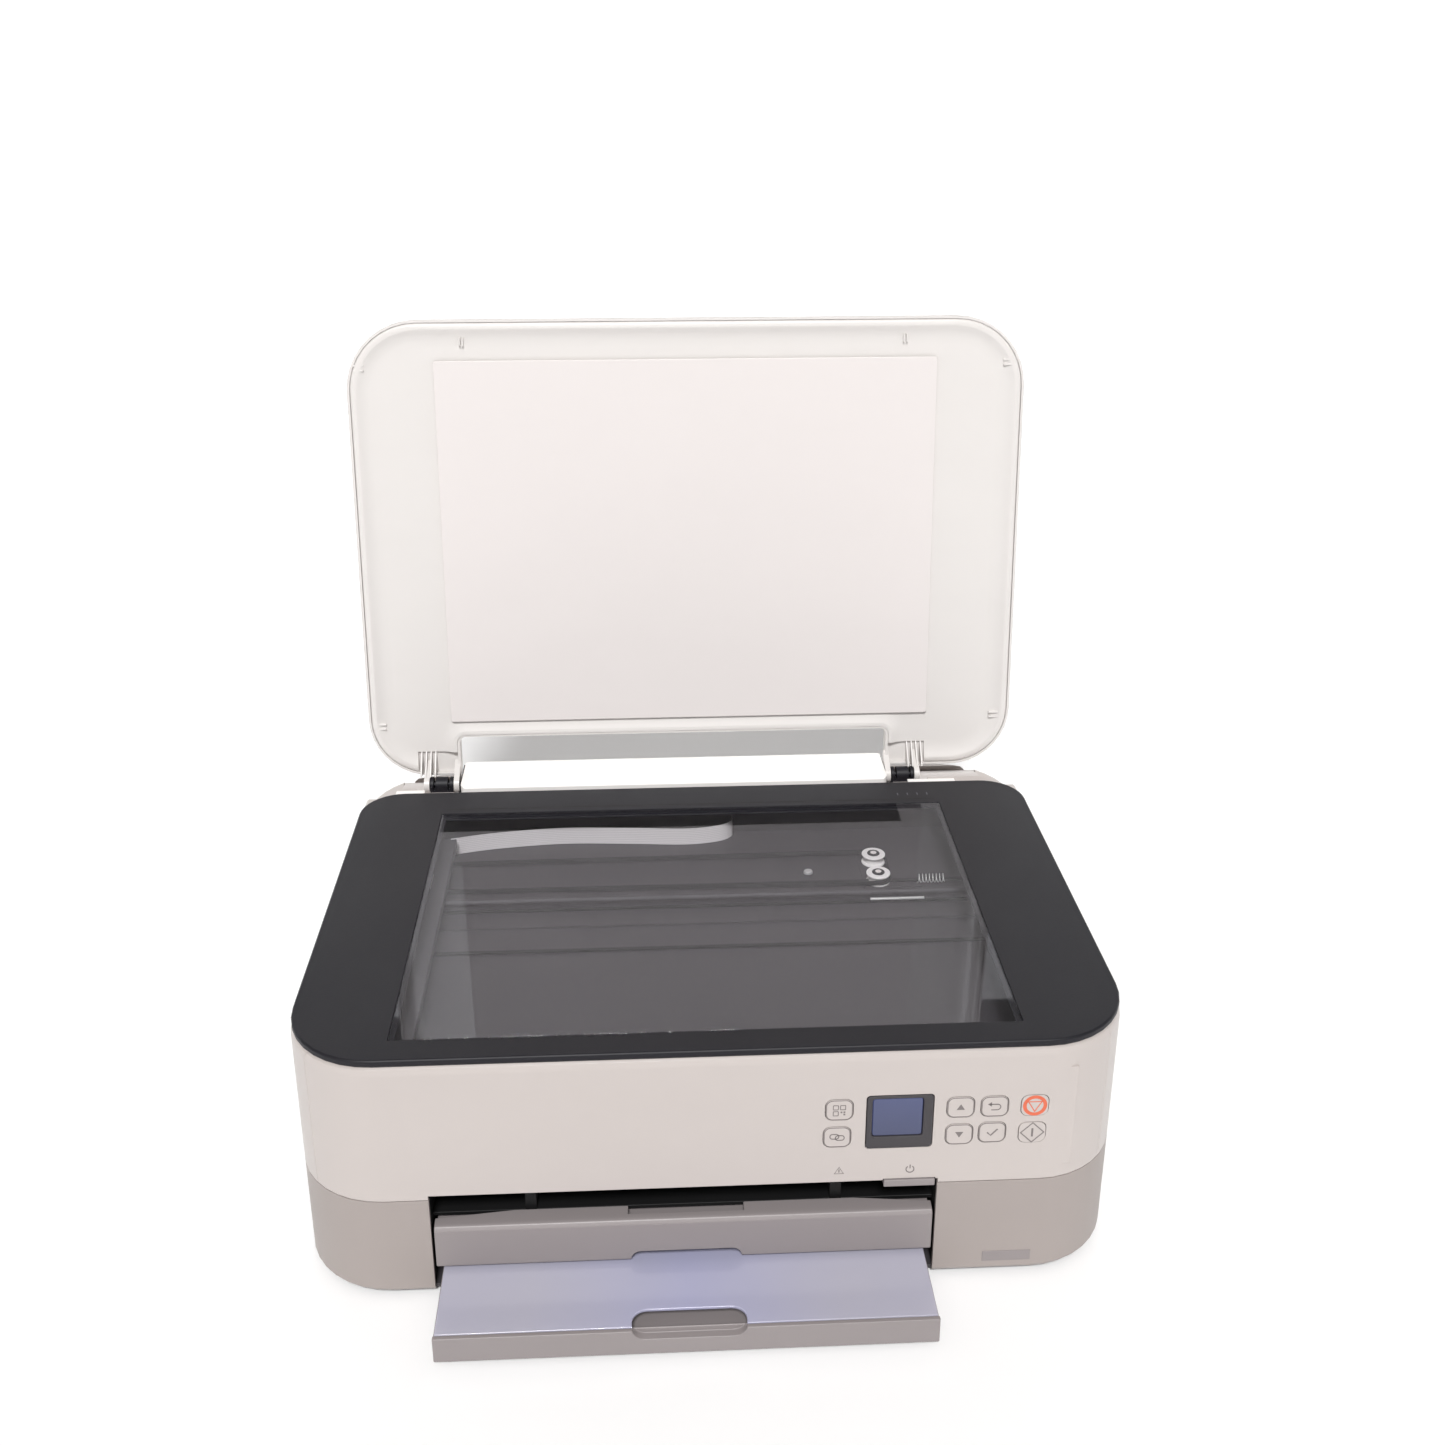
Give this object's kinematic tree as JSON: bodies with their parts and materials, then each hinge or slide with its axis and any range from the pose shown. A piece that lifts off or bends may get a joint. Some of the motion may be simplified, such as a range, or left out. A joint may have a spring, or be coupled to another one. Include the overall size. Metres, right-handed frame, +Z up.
{
  "type": "inkjet printer",
  "caption": "All-in-one inkjet printer with an open scanner lid, flatbed glass, front control panel, paper cassette, output tray and rear paper feed.",
  "frame": {"origin": "middle of the bounding box footprint, on the surface the feet stand on", "axes": "+Z up, +Y towards the back, +X to the right seen from the front"},
  "size_m": [0.4064, 0.3651, 0.4178],
  "materials": {
    "white_shell": "fine satin white ABS",
    "panel_shell": "warm white panel",
    "grey_shell": "light warm grey",
    "black_frame": "black fine grain",
    "dark_plastic": "dark grey moulded",
    "platen_glass": "clear float glass",
    "screen": "blue grey display",
    "rubber": "matte rubber",
    "steel": "zinc plated sheet",
    "board": "green circuit board",
    "smoke_cover": "translucent bluish",
    "tray_plastic": "warm grey",
    "foam": "white document pad",
    "orange_key": "orange red",
    "cyan_ink": "blue cartridge",
    "ribbon": "flat flexible cable"
  },
  "bodies": {
    "base": {"foot_1": "rubber", "foot_2": "rubber", "foot_3": "rubber", "foot_4": "rubber", "base_pan": "dark_plastic", "lower_housing": "grey_shell", "rear_cover": "white_shell", "tray_frame": "black_frame", "rear_tray_frame": "dark_plastic", "carriage_rail": "steel", "print_platen": "black_frame", "carriage_motor": "steel", "main_board": "board", "power_supply": "dark_plastic", "maintenance_station": "dark_plastic", "power_inlet": "black_frame"},
    "scanner_unit": {"upper_housing": "white_shell", "grip_left": "black_frame", "grip_right": "black_frame", "control_panel": "panel_shell", "display_bezel": "dark_plastic", "display_screen": "screen", "scanner_frame": "black_frame", "platen_glass": "platen_glass", "scanner_case": "dark_plastic", "scan_belt": "rubber", "ribbon_cable": "ribbon"},
    "lid_arms": {"hinge_arm_left": "black_frame", "hinge_arm_right": "black_frame"},
    "lid": {"lid_cover": "white_shell", "lid_liner": "white_shell", "document_pad": "foam"},
    "tray_cover": {"rear_tray_cover": "white_shell"},
    "rear_guide_l": {"rear_guide_left": "dark_plastic"},
    "rear_guide_r": {"rear_guide_right": "dark_plastic"},
    "feed_shaft": {"feed_roller": "rubber"},
    "eject_shaft": {"eject_roller": "rubber"},
    "pickup_shaft": {"pickup_roller": "rubber"},
    "ink_carriage": {"print_carriage": "black_frame", "black_cartridge": "black_frame", "colour_cartridge": "cyan_ink"},
    "paper_cassette": {"cassette_tray": "tray_plastic", "cassette_cover": "smoke_cover"},
    "cassette_guide_l": {"cassette_guide_left": "dark_plastic"},
    "cassette_guide_r": {"cassette_guide_right": "dark_plastic"},
    "paper_output": {"output_tray": "tray_plastic"},
    "scan_head": {"scan_carriage": "dark_plastic", "image_sensor": "black_frame"},
    "drive_pulley": {"scan_pulley_drive": "white_shell"},
    "tension_pulley": {"scan_pulley_tension": "white_shell"},
    "idler_pulley": {"scan_pulley_idler": "white_shell"},
    "scan_code_button_key": {"scan_code_button": "panel_shell"},
    "connect_button_key": {"connect_button": "panel_shell"},
    "up_button_key": {"up_button": "panel_shell"},
    "back_button_key": {"back_button": "panel_shell"},
    "down_button_key": {"down_button": "panel_shell"},
    "ok_button_key": {"ok_button": "panel_shell"},
    "stop_button_key": {"stop_button": "orange_key"},
    "start_button_key": {"start_button": "panel_shell"},
    "power_button_key": {"power_button": "tray_plastic"}
  },
  "joints": [
    {"name": "scanner_hinge", "type": "hinge", "parent": "base", "child": "scanner_unit", "pos_m": [0, 0.1581, 0.115], "axis": [1, 0, 0], "range_deg": [-38, 0]},
    {"name": "lid_lift", "type": "slide", "parent": "scanner_unit", "child": "lid_arms", "axis": [0, 0, 1], "range_m": [0, 0.008]},
    {"name": "lid_hinge", "type": "hinge", "parent": "lid_arms", "child": "lid", "pos_m": [0, 0.1411, 0.1335], "axis": [1, 0, 0], "range_deg": [0, 95.5]},
    {"name": "tray_cover_hinge", "type": "hinge", "parent": "base", "child": "tray_cover", "pos_m": [0, 0.1591, 0.1255], "axis": [1, 0, 0], "range_deg": [-95, 0]},
    {"name": "rear_guide_left_slide", "type": "slide", "parent": "base", "child": "rear_guide_l", "axis": [1, 0, 0], "range_m": [0, 0.045]},
    {"name": "rear_guide_right_slide", "type": "slide", "parent": "base", "child": "rear_guide_r", "axis": [1, 0, 0], "range_m": [-0.045, 0]},
    {"name": "feed_spin", "type": "hinge", "parent": "base", "child": "feed_shaft", "pos_m": [0, -0.0279, 0.048], "axis": [1, 0, 0], "continuous": true},
    {"name": "eject_spin", "type": "hinge", "parent": "base", "child": "eject_shaft", "pos_m": [0, -0.0759, 0.0495], "axis": [1, 0, 0], "continuous": true},
    {"name": "pickup_spin", "type": "hinge", "parent": "base", "child": "pickup_shaft", "pos_m": [0, 0.0741, 0.034], "axis": [1, 0, 0], "continuous": true},
    {"name": "ink_carriage_slide", "type": "slide", "parent": "base", "child": "ink_carriage", "axis": [1, 0, 0], "range_m": [-0.285, 0]},
    {"name": "cassette_slide", "type": "slide", "parent": "base", "child": "paper_cassette", "axis": [0, -1, 0], "range_m": [0, 0.25]},
    {"name": "cassette_guide_left_slide", "type": "slide", "parent": "paper_cassette", "child": "cassette_guide_l", "axis": [1, 0, 0], "range_m": [0, 0.055]},
    {"name": "cassette_guide_right_slide", "type": "slide", "parent": "paper_cassette", "child": "cassette_guide_r", "axis": [1, 0, 0], "range_m": [-0.055, 0]},
    {"name": "output_tray_slide", "type": "slide", "parent": "base", "child": "paper_output", "axis": [0, -1, 0], "range_m": [0, 0.08]},
    {"name": "scan_code_button_press", "type": "slide", "parent": "scanner_unit", "child": "scan_code_button_key", "axis": [0, 1, 0], "range_m": [0, 0.0006], "stiffness_N_per_m": 600},
    {"name": "connect_button_press", "type": "slide", "parent": "scanner_unit", "child": "connect_button_key", "axis": [0, 1, 0], "range_m": [0, 0.0006], "stiffness_N_per_m": 600},
    {"name": "up_button_press", "type": "slide", "parent": "scanner_unit", "child": "up_button_key", "axis": [0, 1, 0], "range_m": [0, 0.0006], "stiffness_N_per_m": 600},
    {"name": "back_button_press", "type": "slide", "parent": "scanner_unit", "child": "back_button_key", "axis": [0, 1, 0], "range_m": [0, 0.0006], "stiffness_N_per_m": 600},
    {"name": "down_button_press", "type": "slide", "parent": "scanner_unit", "child": "down_button_key", "axis": [0, 1, 0], "range_m": [0, 0.0006], "stiffness_N_per_m": 600},
    {"name": "ok_button_press", "type": "slide", "parent": "scanner_unit", "child": "ok_button_key", "axis": [0, 1, 0], "range_m": [0, 0.0006], "stiffness_N_per_m": 600},
    {"name": "stop_button_press", "type": "slide", "parent": "scanner_unit", "child": "stop_button_key", "axis": [0, 1, 0], "range_m": [0, 0.0006], "stiffness_N_per_m": 600},
    {"name": "start_button_press", "type": "slide", "parent": "scanner_unit", "child": "start_button_key", "axis": [0, 1, 0], "range_m": [0, 0.0006], "stiffness_N_per_m": 600},
    {"name": "power_button_press", "type": "slide", "parent": "scanner_unit", "child": "power_button_key", "axis": [0, 1, 0], "range_m": [0, 0.0006], "stiffness_N_per_m": 600},
    {"name": "scan_head_slide", "type": "slide", "parent": "scanner_unit", "child": "scan_head", "axis": [1, 0, 0], "range_m": [0, 0.285]},
    {"name": "drive_pulley_spin", "type": "hinge", "parent": "scanner_unit", "child": "drive_pulley", "pos_m": [-0.17, 0.0611, 0.1136], "axis": [0, 0, 1], "range_deg": [0, 1123.4]},
    {"name": "tension_pulley_spin", "type": "hinge", "parent": "scanner_unit", "child": "tension_pulley", "pos_m": [0.1048, 0.0502, 0.1136], "axis": [0, 0, 1], "range_deg": [0, 2479.1]},
    {"name": "idler_pulley_spin", "type": "hinge", "parent": "scanner_unit", "child": "idler_pulley", "pos_m": [0.105, 0.0718, 0.1136], "axis": [0, 0, 1], "range_deg": [0, 2479.1]}
  ],
  "couplings": [
    {"joint": "rear_guide_right_slide", "follows": "rear_guide_left_slide", "ratio": -1},
    {"joint": "cassette_guide_right_slide", "follows": "cassette_guide_left_slide", "ratio": -1},
    {"joint": "eject_spin", "follows": "feed_spin", "ratio": 1.25},
    {"joint": "pickup_spin", "follows": "feed_spin", "ratio": 0.5},
    {"joint": "drive_pulley_spin", "follows": "scan_head_slide", "rad_per_m": 68.493},
    {"joint": "tension_pulley_spin", "follows": "scan_head_slide", "rad_per_m": 151.52},
    {"joint": "idler_pulley_spin", "follows": "scan_head_slide", "rad_per_m": 151.52}
  ]
}
